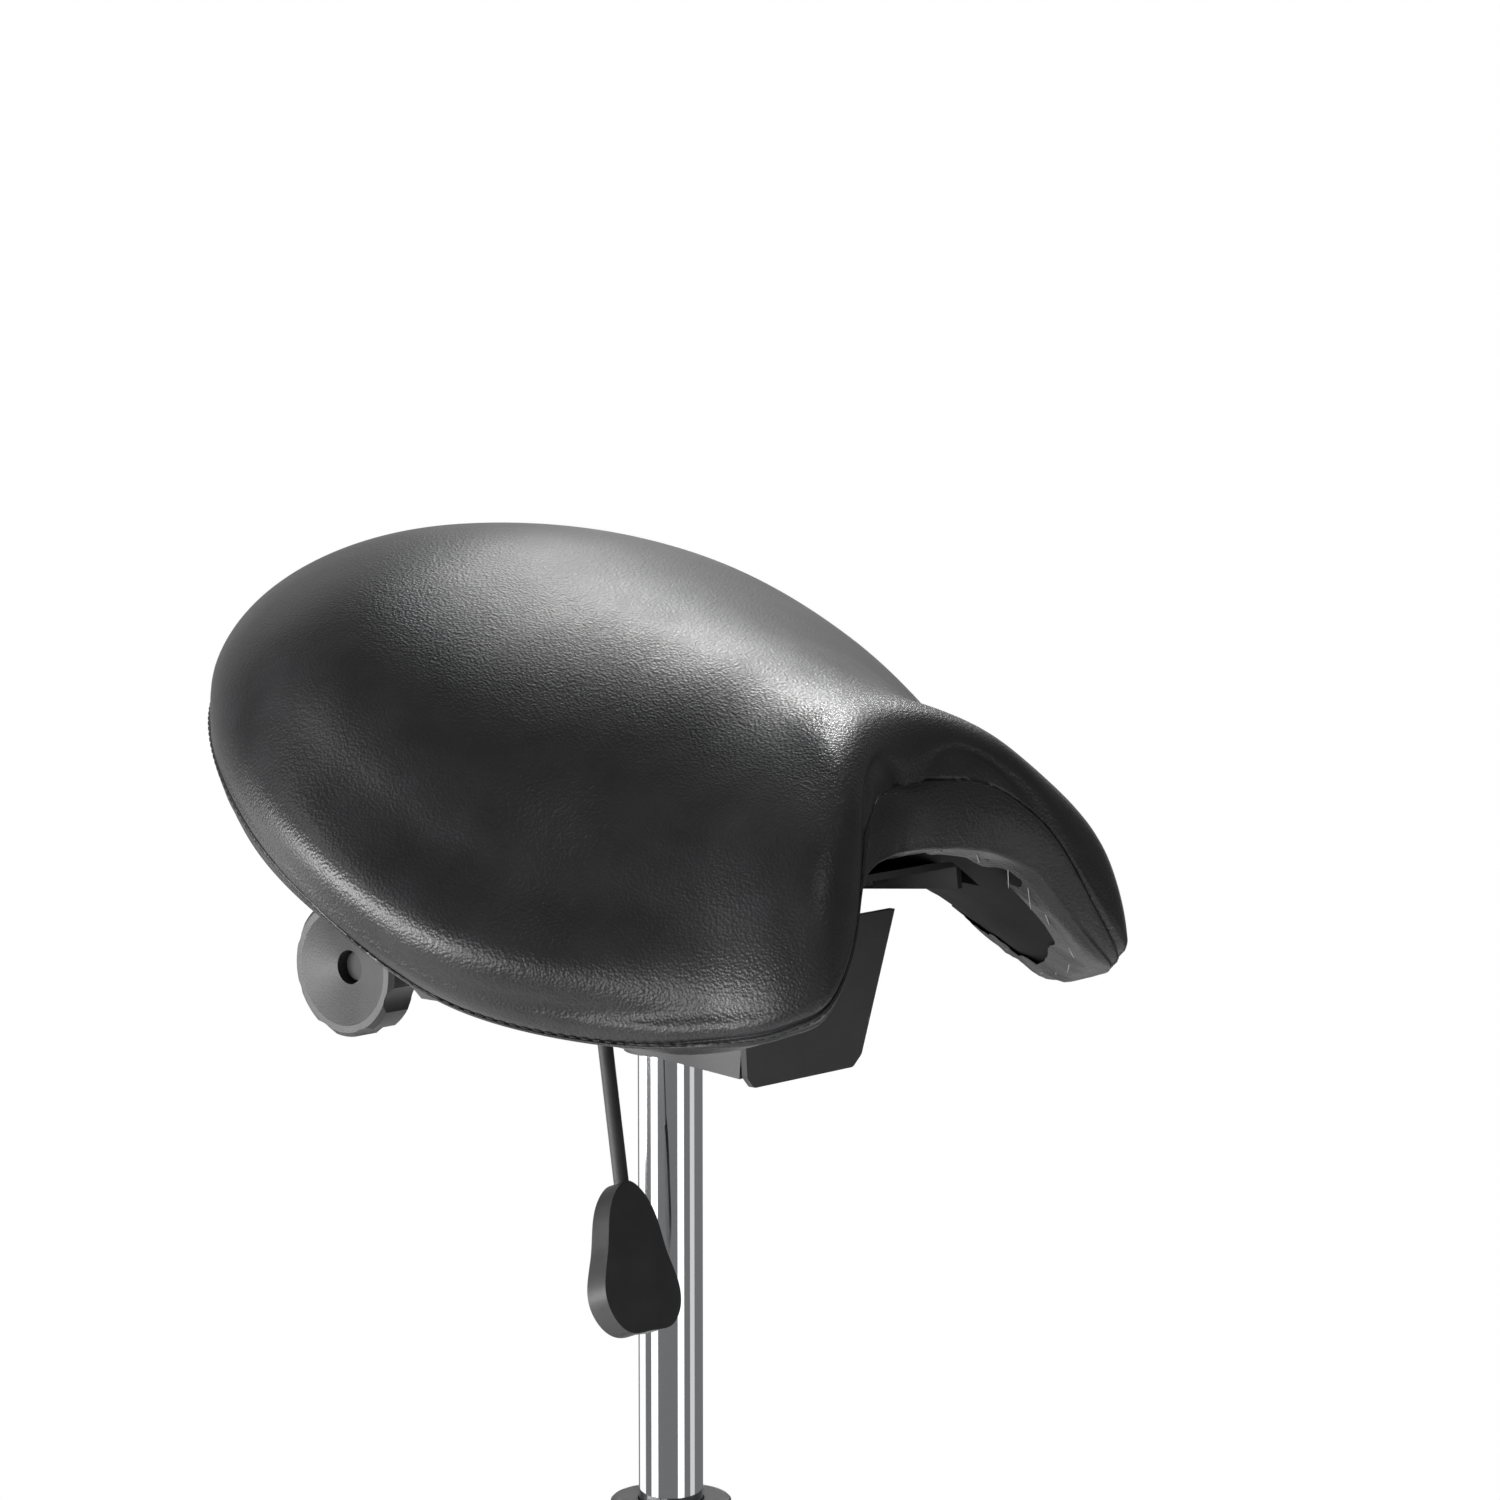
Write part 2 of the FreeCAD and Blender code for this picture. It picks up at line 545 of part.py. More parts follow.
def belly_height(ahead, across, share, rim, lift):
    """Height of the seat's underside, an arch that opens between the two flaps."""
    arch = smooth(BELLY, ahead) - smooth(ARCH, ahead) * (abs(across) / 100.0) ** 3
    return rim + (arch - rim) * (1 - share**5) + lift


def top_point(share, angle, inset):
    reach, rim = seam(angle)
    reach = (reach - inset) * share
    ahead = reach * math.cos(math.radians(angle))
    across = reach * math.sin(math.radians(angle))
    return Vector(across, -ahead, COLLAR_TOP + top_height(ahead, across, share, rim, inset))


def belly_point(share, angle, inset, lift):
    reach, rim = seam(angle)
    tall, tuck = band(angle)
    drop = tall - lift
    reach = (reach - tuck * drop / tall - inset) * share
    ahead = reach * math.cos(math.radians(angle))
    across = reach * math.sin(math.radians(angle))
    return Vector(across, -ahead, COLLAR_TOP + belly_height(ahead, across, share, rim - tall, lift))


def disc_sheet(place):
    """Smooth sheet over the round plan of the seat, from a square grid of points."""
    rows = []
    for i in range(GRID):
        a = math.sin(math.pi * (i / (GRID - 1) - 0.5))
        row = []
        for j in range(GRID):
            b = math.sin(math.pi * (j / (GRID - 1) - 0.5))
            x = a * math.sqrt(1 - SQUARENESS * b * b)
            y = b * math.sqrt(1 - SQUARENESS * a * a)
            edge = math.sqrt(max(0.0, 1 - (1 - a * a) * (1 - b * b)))
            row.append(place(edge, math.degrees(math.atan2(x, y))))
        rows.append(row)
    sheet = Part.BSplineSurface()
    sheet.interpolate(rows)
    return sheet


def edge_curves(sheet):
    u0, u1, v0, v1 = sheet.bounds()
    return [c.toShape() for c in (sheet.uIso(u0), sheet.uIso(u1), sheet.vIso(v0), sheet.vIso(v1))]


def sewn_solid(faces):
    shell = Part.makeCompound(faces)
    shell.sewShape(0.02)
    solid = Part.makeSolid(Part.makeShell(shell.Faces))
    if solid.Volume < 0:
        solid.reverse()
    return solid


def closed_pad(upper, lower):
    """Solid between two sheets over the same plan, closed round the rim."""
    top = disc_sheet(upper)
    bottom = disc_sheet(lower)
    sides = [Part.makeRuledSurface(a, b) for a, b in zip(edge_curves(top), edge_curves(bottom))]
    return sewn_solid([top.toShape(), bottom.toShape()] + sides)


def seat_cover():
    return closed_pad(lambda s, a: top_point(s, a, 0.0), lambda s, a: top_point(s, a, COVER))


def plate_seat():
    """Space under the plane of the seat plate's upper face."""
    below = Part.makeBox(400, 400, 60, Vector(-200, -200, COLLAR_TOP + PLATE_TOP - 60))
    below.rotate(Vector(0, 0, COLLAR_TOP + PLATE_TOP), Vector(1, 0, 0), -PLATE_SLOPE)
    return below.common(Part.makeBox(130, 250, 200, Vector(-65, -118, COLLAR_TOP + 150)))


def seat_foam():
    body = closed_pad(lambda s, a: top_point(s, a, COVER + GAP),
                      lambda s, a: belly_point(s, a, COVER + GAP, SHELL + GAP))
    return body.cut(plate_seat())


def seat_shell():
    body = closed_pad(lambda s, a: belly_point(s, a, COVER + GAP, SHELL),
                      lambda s, a: belly_point(s, a, COVER + GAP, 0.0))
    body = body.cut(plate_seat())
    for x, y in BOLTS:
        body = body.cut(bolt_bore(x, y, 4.0))
    return body


def rim_curve(inset, drop):
    """Closed curve round the side band, a share of the way down from the seam."""
    points = []
    for k in range(RIM_POINTS):
        angle = 360.0 * k / RIM_POINTS - 180
        reach, rim = seam(angle)
        tall, tuck = band(angle)
        out = reach - tuck * drop - inset
        x = out * math.sin(math.radians(angle))
        y = -out * math.cos(math.radians(angle))
        points.append(Vector(x, y, COLLAR_TOP + rim - BAND_GAP - (tall - BAND_GAP) * drop))
    curve = Part.BSplineCurve()
    curve.interpolate(Points=points, PeriodicFlag=True)
    return curve.toShape()


def cover_band():
    outer_top = rim_curve(0.0, 0.0)
    outer_low = rim_curve(0.0, 1.0)
    inner_top = rim_curve(BAND_SHEET, 0.0)
    inner_low = rim_curve(BAND_SHEET, 1.0)
    pairs = ((outer_top, outer_low), (inner_top, inner_low), (outer_top, inner_top), (outer_low, inner_low))
    return sewn_solid([Part.makeRuledSurface(a, b) for a, b in pairs])


def seat_parts():
    save("seat_cover", seat_cover())
    save("cover_band", cover_band())
    save("seat_foam", seat_foam())
    save("seat_shell", seat_shell())


def main():
    os.makedirs("parts", exist_ok=True)
    base()
    standing_parts()
    piston_rod_parts()
    gas_spring_parts()
    bracket_parts()
    lever_parts()
    knob_parts()
    plate_parts()
    seat_parts()


main()
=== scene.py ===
"""A saddle-seat drum throne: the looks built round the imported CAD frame, in metres."""
import json
import math
import random

import bmesh
import bpy
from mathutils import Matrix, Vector, noise


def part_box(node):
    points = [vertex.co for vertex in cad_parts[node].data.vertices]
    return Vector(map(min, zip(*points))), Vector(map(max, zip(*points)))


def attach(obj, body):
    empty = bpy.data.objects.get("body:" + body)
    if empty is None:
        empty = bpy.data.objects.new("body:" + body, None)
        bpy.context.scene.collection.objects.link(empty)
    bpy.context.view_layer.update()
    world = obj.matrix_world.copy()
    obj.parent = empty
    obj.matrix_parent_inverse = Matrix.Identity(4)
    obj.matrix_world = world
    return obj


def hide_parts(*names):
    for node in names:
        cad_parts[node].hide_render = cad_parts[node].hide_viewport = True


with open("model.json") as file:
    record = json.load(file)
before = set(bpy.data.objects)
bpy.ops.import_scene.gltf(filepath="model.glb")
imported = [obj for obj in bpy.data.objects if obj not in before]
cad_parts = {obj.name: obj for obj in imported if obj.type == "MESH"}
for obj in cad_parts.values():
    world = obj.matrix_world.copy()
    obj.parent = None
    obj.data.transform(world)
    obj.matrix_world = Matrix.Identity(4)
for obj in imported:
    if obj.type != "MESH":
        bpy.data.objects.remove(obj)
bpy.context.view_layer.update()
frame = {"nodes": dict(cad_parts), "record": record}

MM = 0.001
COLLAR_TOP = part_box("top_collar")[1][2] / MM

# The saddle's form, in millimetres and degrees. Angles start at the front, and both halves mirror each other.
# Heights count from the collar's top. Distances along the seat count towards the front.

# Rim line: angle, radius, height
SEAM = (
    (0, 136, 325), (7, 139.5, 325), (12, 146.5, 323.5), (17, 158, 316.5), (21, 172, 303),
    (25, 188, 275), (29, 198, 257), (34, 196, 249), (44, 178.5, 244), (58, 164.5, 242.5),
    (78, 172.5, 254.5), (102, 182.5, 291), (130, 193, 331), (155, 203, 355), (180, 203, 355),
)
# Centre line of the dome: distance, height
CREST = ((-190, 418), (-130, 420), (-70, 416), (-10, 398), (50, 378), (100, 364.5), (140, 370))
# Fall of the dome to each side, and how soon it levels out: distance, amount
FALL = ((-190, 22), (-80, 16), (30, 34), (140, 82))
FLARE = ((-190, 0.2), (-80, 0.3), (30, 0.5), (140, 0.6))
# How tightly the top rolls over the rim
ROLL_POWER = 5.3
ROLL_ROOT = 2.2
# Side band: angle, height, how far its lower edge is tucked in
BAND = ((0, 27, 3), (14, 26, 3), (21, 20, 5), (29, 13, 8), (44, 12, 1), (78, 12, 1), (102, 15, 2),
        (130, 22, 6), (180, 22, 10))
# Where the stitched seam lies on the side: angle, share of the way down
DROP = ((0, 0.02), (21, 0.05), (29, 0.55), (40, 0.8), (96, 0.8), (118, 0.25), (136, 0.05), (180, 0.05))
# Outward fullness of the thigh rolls: angle, amount
FULLNESS = ((0, 0), (42, 0), (62, 12), (92, 13), (118, 5), (142, 0), (180, 0))
BOLSTER_FOOT = 12          # how far below the rim line the fullness starts
BOLSTER_HEIGHT = 64
# Underside along the centre line, and how far it drops to each side: distance, amount
BELLY = ((-198, 345), (-170, 322), (-130, 290), (-95, 270), (-70, 265), (-40, 267.9), (0, 271.9),
         (50, 276.9), (85, 281.5), (105, 287.5), (131, 297), (170, 300))
ARCH = ((-130, -5), (0, 2), (60, 8), (90, 20), (125, 52), (170, 60))
BELLY_POWER = 5


def smooth(rows, x, column=1, flat_ends=False):
    """Cubic through table rows, with slopes taken from the neighbouring rows."""
    x = min(max(x, rows[0][0]), rows[-1][0])
    last = len(rows) - 2
    k = 0
    while k < last and x > rows[k + 1][0]:
        k += 1

    def secant(i):
        return (rows[i + 1][column] - rows[i][column]) / (rows[i + 1][0] - rows[i][0])

    def slope(i):
        if i == 0 or i == last + 1:
            return 0.0 if flat_ends else secant(min(i, last))
        before = rows[i][0] - rows[i - 1][0]
        after = rows[i + 1][0] - rows[i][0]
        return (secant(i) * before + secant(i - 1) * after) / (before + after)

    width = rows[k + 1][0] - rows[k][0]
    t = (x - rows[k][0]) / width
    rise = rows[k][column] * (2 * t**3 - 3 * t**2 + 1) + rows[k + 1][column] * (3 * t**2 - 2 * t**3)
    return rise + width * (slope(k) * (t**3 - 2 * t**2 + t) + slope(k + 1) * (t**3 - t**2))


def fold(angle):
    """Angle from the front, the same on both halves."""
    return abs((angle + 180) % 360 - 180)


def seam(angle):
    """Radius and height of the rim line."""
    turn = fold(angle)
    return smooth(SEAM, turn, 1, True), smooth(SEAM, turn, 2, True)


def band(angle):
    """Height and tuck of the side band."""
    turn = fold(angle)
    return smooth(BAND, turn, 1, True), smooth(BAND, turn, 2, True)


def place(reach, angle, height):
    """Point in metres from a radius, an angle from the front in degrees and a height above the collar."""
    turn = math.radians(angle)
    return Vector((reach * math.sin(turn), -reach * math.cos(turn), COLLAR_TOP + height)) * MM


def top_height(reach, angle, share):
    """Height of the dome at a radius that is a share of the rim's."""
    rim = seam(angle)[1]
    ahead = reach * math.cos(math.radians(angle))
    wide = (reach * math.sin(math.radians(angle)) / 100) ** 2
    saddle = smooth(CREST, ahead) - smooth(FALL, ahead) * wide / (1 + smooth(FLARE, ahead) * wide)
    return rim + (saddle - rim) * max(0.0, 1 - share**ROLL_POWER) ** (1 / ROLL_ROOT)


def belly_height(reach, angle, share):
    """Height of the shell's underside at a radius that is a share of the lower edge's."""
    rim = seam(angle)[1] - band(angle)[0]
    ahead = reach * math.cos(math.radians(angle))
    across = reach * math.sin(math.radians(angle))
    arch = smooth(BELLY, ahead) - smooth(ARCH, ahead) * (abs(across) / 100) ** 3
    return rim + (arch - rim) * (1 - share**BELLY_POWER)


# Mesh helpers

def leather_piece(name, verts, faces):
    """Smooth mesh in leatherette that rides with the seat."""
    mesh = bpy.data.meshes.new(name)
    mesh.from_pydata([tuple(v) for v in verts], [], faces)
    mesh.validate()
    piece = bpy.data.objects.new(name, mesh)
    bpy.context.scene.collection.objects.link(piece)
    mesh.polygons.foreach_set("use_smooth", [True] * len(mesh.polygons))
    bm = bmesh.new()
    bm.from_mesh(mesh)
    bmesh.ops.recalc_face_normals(bm, faces=bm.faces)
    bm.to_mesh(mesh)
    bm.free()
    mesh.materials.append(LEATHER)
    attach(piece, "seat")
    return piece


def ring_faces(rows, columns, start=0):
    """Quads between successive closed rows of points."""
    faces = []
    for i in range(rows - 1):
        for k in range(columns):
            a = start + i * columns + k
            b = start + i * columns + (k + 1) % columns
            faces.append((a, b, b + columns, a + columns))
    return faces


# Materials

def shader(name, colour, roughness, metallic=0.0, **sockets):
    """A Principled material; returns it with its tree and shader node."""
    material = bpy.data.materials.new(name)
    material.use_nodes = True
    tree = material.node_tree
    node = tree.nodes["Principled BSDF"]
    node.inputs["Base Color"].default_value = (*colour, 1)
    node.inputs["Roughness"].default_value = roughness
    node.inputs["Metallic"].default_value = metallic
    for key, value in sockets.items():
        node.inputs[key.replace("_", " ")].default_value = value
    return material, tree, node


def add(tree, kind, **values):
    """New shader node with its settings and socket values."""
    node = tree.nodes.new(kind)
    for key, value in values.items():
        if hasattr(node, key):
            setattr(node, key, value)
        else:
            node.inputs[key].default_value = value
    return node


def object_coords(tree):
    return add(tree, "ShaderNodeTexCoord").outputs["Object"]


def mottle(tree, node, coords, scale, dark, light):
    """Colour that wanders between two shades; returns the noise, which callers also use for roughness."""
    grain = add(tree, "ShaderNodeTexNoise", Scale=scale, Detail=4)
    tree.links.new(coords, grain.inputs["Vector"])
    ramp = add(tree, "ShaderNodeValToRGB")
    ramp.color_ramp.elements[0].position = 0.3
    ramp.color_ramp.elements[1].position = 0.7
    ramp.color_ramp.elements[0].color = (*dark, 1)
    ramp.color_ramp.elements[1].color = (*light, 1)
    tree.links.new(grain.outputs["Fac"], ramp.inputs["Fac"])
    tree.links.new(ramp.outputs["Color"], node.inputs["Base Color"])
    return grain


def uneven(tree, node, source, low, high):
    """Roughness that wanders between two values."""
    span = add(tree, "ShaderNodeMapRange")
    span.inputs["To Min"].default_value = low
    span.inputs["To Max"].default_value = high
    tree.links.new(source, span.inputs["Value"])
    tree.links.new(span.outputs["Result"], node.inputs["Roughness"])


def bumped(tree, node, height, strength, distance, under=None):
    """Fine relief on a finish, laid over another relief where one is given."""
    bump = add(tree, "ShaderNodeBump", Strength=strength, Distance=distance)
    tree.links.new(height, bump.inputs["Height"])
    if under:
        tree.links.new(under.outputs["Normal"], bump.inputs["Normal"])
    tree.links.new(bump.outputs["Normal"], node.inputs["Normal"])
    return bump


def leatherette():
    """Black pebbled leatherette: rounded cells split by fine creases."""
    material, tree, node = shader("leatherette", (0.018, 0.018, 0.019), 0.4, Specular_IOR_Level=0.6)
    coords = object_coords(tree)
    grain = mottle(tree, node, coords, 45, (0.014, 0.014, 0.015), (0.022, 0.022, 0.024))
    uneven(tree, node, grain.outputs["Fac"], 0.32, 0.43)
    cells = add(tree, "ShaderNodeTexVoronoi", feature="SMOOTH_F1", Scale=900)
    tree.links.new(coords, cells.inputs["Vector"])
    fine = add(tree, "ShaderNodeTexNoise", Scale=1600, Detail=3)
    tree.links.new(coords, fine.inputs["Vector"])
    base = bumped(tree, node, fine.outputs["Fac"], 0.25, 0.0002)
    bumped(tree, node, cells.outputs["Distance"], 0.45, 0.0005, base)
    return material


def powder_coat():
    material, tree, node = shader("powder_coat", (0.04, 0.038, 0.039), 0.5)
    coords = object_coords(tree)
    grain = mottle(tree, node, coords, 70, (0.036, 0.034, 0.035), (0.047, 0.044, 0.045))
    uneven(tree, node, grain.outputs["Fac"], 0.42, 0.58)
    orange_peel = add(tree, "ShaderNodeTexNoise", Scale=700, Detail=2)
    tree.links.new(coords, orange_peel.inputs["Vector"])
    bumped(tree, node, orange_peel.outputs["Fac"], 0.25, 0.0003)
    return material


def chrome():
    material, tree, node = shader("chrome", (0.86, 0.87, 0.89), 0.05, 1.0)
    coords = object_coords(tree)
    grain = add(tree, "ShaderNodeTexNoise", Scale=30, Detail=5)
    tree.links.new(coords, grain.inputs["Vector"])
    uneven(tree, node, grain.outputs["Fac"], 0.03, 0.09)
    return material


def zinc():
    material, tree, node = shader("zinc_plate", (0.55, 0.55, 0.53), 0.32, 1.0)
    coords = object_coords(tree)
    grain = mottle(tree, node, coords, 120, (0.48, 0.48, 0.46), (0.62, 0.62, 0.60))
    uneven(tree, node, grain.outputs["Fac"], 0.25, 0.42)
    return material


def moulded(name, dark, light, low, high, texture, strength, shine):
    """Black moulded plastic or rubber with a fine spark-eroded grain."""
    material, tree, node = shader(name, dark, low, Specular_IOR_Level=shine)
    coords = object_coords(tree)
    grain = mottle(tree, node, coords, 60, dark, light)
    uneven(tree, node, grain.outputs["Fac"], low, high)
    skin = add(tree, "ShaderNodeTexNoise", Scale=texture, Detail=3)
    tree.links.new(coords, skin.inputs["Vector"])
    bumped(tree, node, skin.outputs["Fac"], strength, 0.0003)
    return material


def plain_floor():
    material, _, node = shader("floor_white", (0.93, 0.93, 0.93), 0.7, Specular_IOR_Level=0.05)
    node.inputs["Emission Color"].default_value = (1, 1, 1, 1)
    node.inputs["Emission Strength"].default_value = 0.4
    return material


# Moulded finishes: darkest and lightest shade, lowest and highest roughness, grain scale and strength, shine
MOULDED = (
    ("black_plastic", (0.028, 0.028, 0.029), (0.040, 0.040, 0.042), 0.36, 0.5, 1500, 0.3, 0.5),
    # The shell's own black plastic, set much darker and duller than the other plastics: painted shade for the
    # shaded underside of the seat
    ("shell_plastic", (0.006, 0.006, 0.006), (0.010, 0.010, 0.010), 0.6, 0.75, 900, 0.4, 0.15),
    ("base_nylon", (0.014, 0.014, 0.015), (0.021, 0.021, 0.022), 0.42, 0.56, 1200, 0.4, 0.5),
    ("black_rubber", (0.012, 0.012, 0.012), (0.019, 0.019, 0.018), 0.62, 0.8, 800, 0.4, 0.5),
    # Near-black for the clamp screw: painted shade in the knob's shaded hole
    ("painted_shade_black", (0.005, 0.005, 0.005), (0.009, 0.009, 0.009), 0.5, 0.6, 900, 0.2, 0.5),
    ("thread", (0.010, 0.010, 0.010), (0.020, 0.020, 0.020), 0.5, 0.65, 2500, 0.5, 0.5),
)

LEATHER = leatherette()
FINISHES = {"leatherette": LEATHER, "black_steel": powder_coat(), "chrome": chrome(), "zinc_steel": zinc()}
for row in MOULDED:
    FINISHES[row[0]] = moulded(*row)
# The hidden foam takes the same black, darkened as painted shade
FINISHES["foam"] = FINISHES["shell_plastic"]


def dress_frame():
    """Each CAD node takes the finish of its material slot, apart from the clamp screw, which is painted
    near-black as painted shade for the shaded hole in the knob.
    """
    for entry in frame["record"]["subparts"]:
        finish = "painted_shade_black" if entry["node"] == "clamp_bolt" else entry["material_slot"]
        mesh = frame["nodes"][entry["node"]].data
        mesh.materials.clear()
        mesh.materials.append(FINISHES[finish])


# The saddle's cover

AROUND = 360               # points round the seat
TOP_ROWS = 64
OVER_ROWS = 6
SWELL = 2.0                # crown of the side between rim line and lower edge
RIPPLE = 0.4
GROOVE_DEPTH = 2.2
GROOVE_REACH = 1.1


def pucker(angle, size, seed=0.0):
    """Smooth wandering value round the rim, -1 to 1."""
    turn = math.radians(angle)
    return noise.noise(Vector((math.cos(turn) * size, math.sin(turn) * size, seed)))


def drop(angle):
    """Share of the way down the side where the seam is sewn."""
    return smooth(DROP, fold(angle), 1, True)


def bolster(angle, rise):
    """Outward fullness of the thigh rolls, by the height above the rim line."""
    t = min(1.0, max(0.0, (rise + BOLSTER_FOOT) / BOLSTER_HEIGHT))
    swell = math.sin(math.pi * t) ** (1.0 if t < 0.5 else 2.0)
    return smooth(FULLNESS, fold(angle), 1, True) * swell


def side_point(angle, t):
    """Point on the side, a share t of the way from the rim line down to the lower edge."""
    reach, rim = seam(angle)
    tall, tuck = band(angle)
    swell = SWELL * math.sin(math.pi * min(1.0, t)) ** 0.8 if 0 < t < 1 else 0.0
    ripple = RIPPLE * pucker(angle, 22, 3.0) * t
    return reach - tuck * t + swell + ripple + bolster(angle, -tall * t), rim - tall * t


def groove(away):
    """How far the leather is drawn in by the stitching, by the distance from the seam."""
    return GROOVE_DEPTH * math.exp(-(away / GROOVE_REACH) ** 2)


def cover_top():
    """Top panel, from the crest over the rim and down to the stitched seam, where it dips in."""
    verts = [place(0, 0, top_height(0, 0, 0))]
    for i in range(1, TOP_ROWS + 1):
        share = math.sin(math.pi / 2 * i / TOP_ROWS)
        for k in range(AROUND):
            angle = 360.0 * k / AROUND
            reach, rim = seam(angle)
            height = top_height(reach * share, angle, share)
            below = (1 - share) * reach + drop(angle) * band(angle)[0]
            out = reach * share + bolster(angle, height - rim) * share**4
            verts.append(place(out - groove(below), angle, height))
    for i in range(1, OVER_ROWS + 1):
        for k in range(AROUND):
            angle = 360.0 * k / AROUND
            sewn = drop(angle)
            reach, height = side_point(angle, sewn * i / OVER_ROWS)
            above = sewn * (1 - i / OVER_ROWS) * band(angle)[0]
            verts.append(place(reach - groove(above), angle, height))
    faces = [(0, 1 + k, 1 + (k + 1) % AROUND) for k in range(AROUND)]
    faces += ring_faces(TOP_ROWS + OVER_ROWS, AROUND, 1)
    piece = leather_piece("saddle_cover", verts, faces)
    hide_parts("seat_foam", "seat_cover")


BAND_ROWS = 16
ROLL_ROWS = 6
HEM_ROWS = 8
ROLL = 1.8                 # radius of the turned lower edge
ROW_CROWDING = 1.7         # puts more rows of points next to the seam
HEM_WIDTH = 24.0
HEM_WANDER = 3.0
HEM_LIE = 1.6              # how far the hem lies below the shell
HEM_CLEARANCE = 1.2
GATHER = 12.0


def band_points(angle):
    """Points down the side, from the seam to the lower edge."""
    tall = band(angle)[0]
    sewn = drop(angle)
    points = []
    for i in range(BAND_ROWS):
        t = sewn + (1 - sewn) * (i / (BAND_ROWS - 1)) ** ROW_CROWDING
        out, height = side_point(angle, t)
        points.append(place(out - groove((t - sewn) * tall), angle, height))
    return points


def edge_points(angle, edge, low):
    """Quarter turn under the lower edge."""
    points = []
    for i in range(1, ROLL_ROWS):
        bend = math.pi / 2 * i / (ROLL_ROWS - 1)
        points.append(place(edge - ROLL + ROLL * math.cos(bend), angle, low - ROLL * math.sin(bend)))
    return points


def hem_points(angle, edge, low):
    """Gathered hem, running inwards under the shell."""
    start = low - ROLL
    width = HEM_WIDTH + HEM_WANDER * pucker(angle, 20, 8.0)
    crease = GATHER * abs(pucker(angle, 40, 5.0))
    points = []
    for i in range(1, HEM_ROWS + 1):
        t = i / HEM_ROWS
        inward = edge - ROLL - width * t
        under = belly_height(inward, angle, inward / edge)
        lie = start + (under - HEM_LIE - start) * min(1.0, 2.0 * t)
        gather = crease * max(0.0, t - 0.2) * (1.2 - t)
        points.append(place(inward, angle, min(lie, under - HEM_CLEARANCE) - gather))
    return points


def side_profile(angle):
    """Points of one slice of the band, its rolled lower edge and the hem under the rim."""
    reach, rim = seam(angle)
    tall, tuck = band(angle)
    edge = reach - tuck
    low = rim - tall
    return band_points(angle) + edge_points(angle, edge, low) + hem_points(angle, edge, low)


def side_band():
    """Sewn side panel, turned under the rim and stapled to the shell."""
    slices = [side_profile(360.0 * k / AROUND) for k in range(AROUND)]
    rows = len(slices[0])
    verts = [slices[k][i] for i in range(rows) for k in range(AROUND)]
    piece = leather_piece("side_band", verts, ring_faces(rows, AROUND))
    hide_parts("cover_band")


def rim_point(angle):
    reach, height = seam(angle)
    return place(reach, angle, height)


def rim_walk(step):
    """Angles at an even spacing in millimetres along the rim line."""
    probe = 0.5
    angle = 0.0
    angles = []
    while angle < 360:
        angles.append(angle)
        length = (rim_point(angle + probe) - rim_point(angle)).length / MM
        angle += probe * step / length
    return angles


BAR_SIDES = 6
# Rounded bar: share of the length, share of the radius
BAR_STATIONS = ((0.0, 0.35), (0.12, 0.85), (0.3, 1.0), (0.7, 1.0), (0.88, 0.85), (1.0, 0.35))


def capsule(bm, start, end, radius):
    """Small rounded bar between two points."""
    along = (end - start).normalized()
    across = along.orthogonal().normalized()
    other = along.cross(across)
    rings = []
    for t, swell in BAR_STATIONS:
        centre = start.lerp(end, t)
        ring = []
        for k in range(BAR_SIDES):
            turn = 2 * math.pi * k / BAR_SIDES
            spoke = across * math.cos(turn) + other * math.sin(turn)
            ring.append(bm.verts.new(centre + spoke * radius * swell))
        rings.append(ring)
    for a, b in zip(rings, rings[1:]):
        for k in range(BAR_SIDES):
            bm.faces.new((a[k], a[(k + 1) % BAR_SIDES], b[(k + 1) % BAR_SIDES], b[k]))
    bm.faces.new(rings[0][::-1])
    bm.faces.new(rings[-1])


def bars(name, spans, radius, finish):
    """One piece made of many small bars."""
    bm = bmesh.new()
    for start, end in spans:
        capsule(bm, start, end, radius * MM)
    mesh = bpy.data.meshes.new(name)
    bm.to_mesh(mesh)
    bm.free()
    mesh.polygons.foreach_set("use_smooth", [True] * len(mesh.polygons))
    mesh.materials.append(FINISHES[finish])
    piece = bpy.data.objects.new(name, mesh)
    bpy.context.scene.collection.objects.link(piece)
    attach(piece, "seat")


STITCH_PITCH = 5.0
STITCH_TURN = 1.05         # degrees that one stitch spans
STITCH_BELOW = 2.6         # distance below the seam
STITCH_LOWEST = 0.96
STITCH_RADIUS = 0.45


def stitches():
    """A row of stitches on the band, just below the seam."""
    spans = []
    for angle in rim_walk(STITCH_PITCH):
        ends = []
        for turn in (angle, angle + STITCH_TURN):
            share = min(STITCH_LOWEST, drop(turn) + STITCH_BELOW / band(turn)[0])
            reach, height = side_point(turn, share)
            ends.append(place(reach - 0.1, turn, height))
        spans.append(ends)
    bars("seam_stitches", spans, STITCH_RADIUS, "thread")


STAPLE_PITCH = 17.0
STAPLE_HALF = 4.0
STAPLE_LEAN = 1.2
STAPLE_INWARD = 0.72       # share of the hem's width
STAPLE_BELOW = 2.2
STAPLE_RADIUS = 0.22


def staples():
    """Wire staples that hold the hem to the shell."""
    spans = []
    for angle in rim_walk(STAPLE_PITCH):
        edge = seam(angle)[0] - band(angle)[1]
        inward = edge - STAPLE_INWARD * HEM_WIDTH
        lean = random.uniform(-STAPLE_LEAN, STAPLE_LEAN)
        ends = []
        for side in (-1, 1):
            turn = angle + side * math.degrees(STAPLE_HALF / inward)
            height = belly_height(inward, turn, inward / edge) - STAPLE_BELOW
            ends.append(place(inward + side * lean, turn, height))
        spans.append(ends)
    bars("hem_staples", spans, STAPLE_RADIUS, "zinc_steel")


